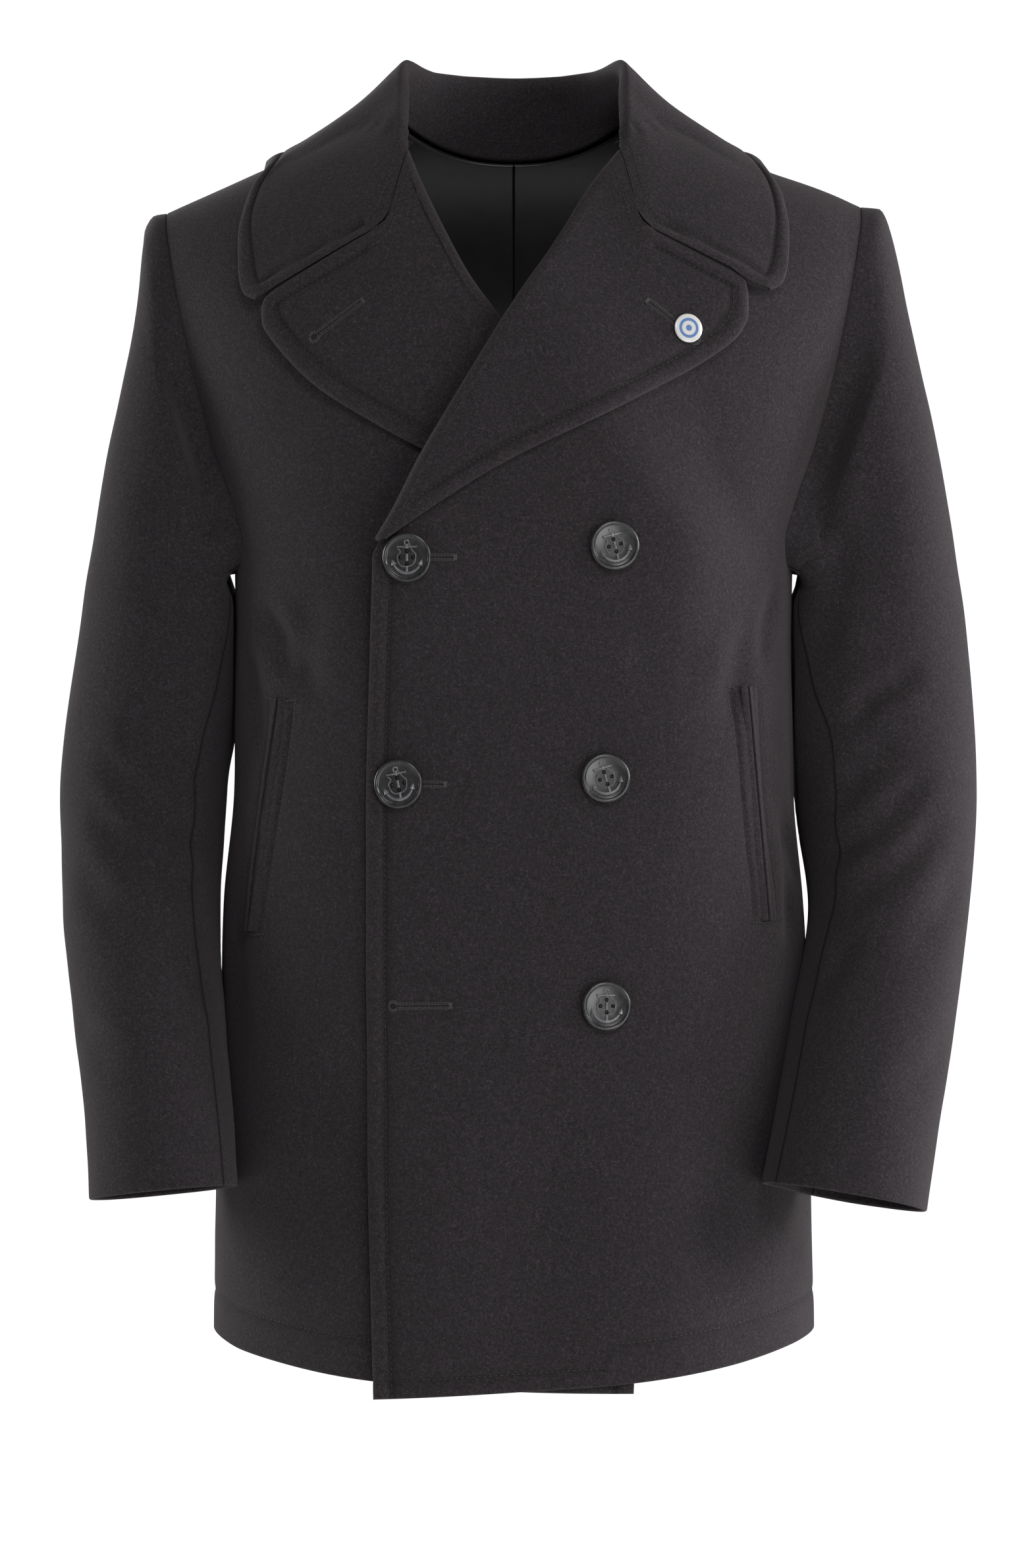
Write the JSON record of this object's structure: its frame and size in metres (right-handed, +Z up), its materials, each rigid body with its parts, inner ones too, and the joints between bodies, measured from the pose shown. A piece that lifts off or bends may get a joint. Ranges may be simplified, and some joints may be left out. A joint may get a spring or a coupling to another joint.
{
  "type": "pea coat",
  "caption": "Worn double-breasted pea coat with a wide notched collar and lapels, set-in sleeves bent at the elbow, slanted slit pockets, sewn-on buttons, open neck, cuffs and hem.",
  "frame": {"origin": "on the wearer's shoulders: midway between the two neck points, at the height where the shoulder seams start", "axes": "+Z up, the front faces -Y, +X towards the wearer's left"},
  "size_m": [0.584, 0.2893, 0.8382],
  "materials": {
    "melton": "brushed black wool melton",
    "button_plastic": "satin black",
    "pin_enamel": "white enamel"
  },
  "bodies": {
    "root": {"front_left": "melton", "front_right": "melton", "back_left": "melton", "back_right": "melton", "lapel_left": "melton", "lapel_right": "melton", "collar": "melton", "sleeve_top_left": "melton", "sleeve_under_left": "melton", "sleeve_top_right": "melton", "sleeve_under_right": "melton", "pocket_welt_front_left": "melton", "pocket_welt_back_left": "melton", "pocket_welt_front_right": "melton", "pocket_welt_back_right": "melton", "button_upper_right": "button_plastic", "button_upper_left": "button_plastic", "button_middle_right": "button_plastic", "button_middle_left": "button_plastic", "button_lower_left": "button_plastic", "lapel_pin": "pin_enamel"}
  },
  "joints": []
}
